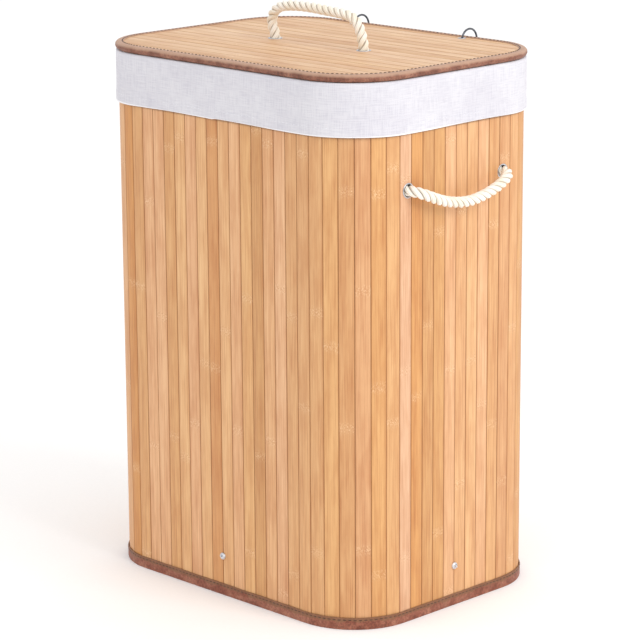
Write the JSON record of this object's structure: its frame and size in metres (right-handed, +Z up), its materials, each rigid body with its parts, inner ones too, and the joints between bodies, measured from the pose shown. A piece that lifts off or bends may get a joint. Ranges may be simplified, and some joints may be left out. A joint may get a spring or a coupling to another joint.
{
  "type": "laundry hamper",
  "caption": "Rectangular bamboo-slat laundry hamper with round corners, a cloth liner folded over the rim, a slatted lid on wire rings, and rope handles.",
  "frame": {"origin": "on the floor, under the centre of the slat basket", "axes": "+Z up; +X along the basket's width, to the right seen from the front; +Y to the back, where the lid's hinge rings are"},
  "size_m": [0.4436, 0.3151, 0.6284],
  "materials": {
    "bamboo": "satin",
    "backing_cloth": "matte",
    "linen": "matte",
    "leather_trim": "satin",
    "dark_wire": "satin",
    "nickel": "satin",
    "screw_steel": "gloss",
    "base_wood": "matte",
    "fibre_board": "matte",
    "cotton_rope": "matte"
  },
  "bodies": {
    "basket": {"front_slats": "bamboo", "right_slats": "bamboo", "back_slats": "bamboo", "left_slats": "bamboo", "front_right_corner_slats": "bamboo", "back_right_corner_slats": "bamboo", "back_left_corner_slats": "bamboo", "front_left_corner_slats": "bamboo", "wall_cloth": "backing_cloth", "liner_bag": "linen", "liner_cuff": "linen", "rim_binding": "leather_trim", "bottom_binding": "leather_trim", "rim_hoop": "dark_wire", "wall_ring_eyelets": "nickel", "side_handle_eyelets": "nickel", "base_screws": "screw_steel", "base_board": "base_wood", "right_handle_rope": "cotton_rope", "left_handle_rope": "cotton_rope", "right_handle_knots": "cotton_rope", "left_handle_knots": "cotton_rope"},
    "lid": {"lid_slats": "bamboo", "lid_board": "fibre_board", "lid_lining": "backing_cloth", "lid_binding": "leather_trim", "lid_ring_eyelets": "nickel", "lid_handle_eyelets": "nickel", "lid_handle_rope": "cotton_rope", "lid_handle_knots": "cotton_rope"},
    "left_ring": {"left_ring": "dark_wire"},
    "right_ring": {"right_ring": "dark_wire"}
  },
  "joints": [
    {"name": "lid_hinge", "type": "hinge", "parent": "basket", "child": "lid", "pos_m": [0, 0.149, 0.5808], "axis": [-1, 0, 0], "range_deg": [0, 180]},
    {"name": "left_ring_turn", "type": "hinge", "parent": "basket", "child": "left_ring", "pos_m": [-0.082, 0.149, 0.5808], "axis": [1, 0, 0], "continuous": true},
    {"name": "right_ring_turn", "type": "hinge", "parent": "basket", "child": "right_ring", "pos_m": [0.082, 0.149, 0.5808], "axis": [1, 0, 0], "continuous": true}
  ]
}
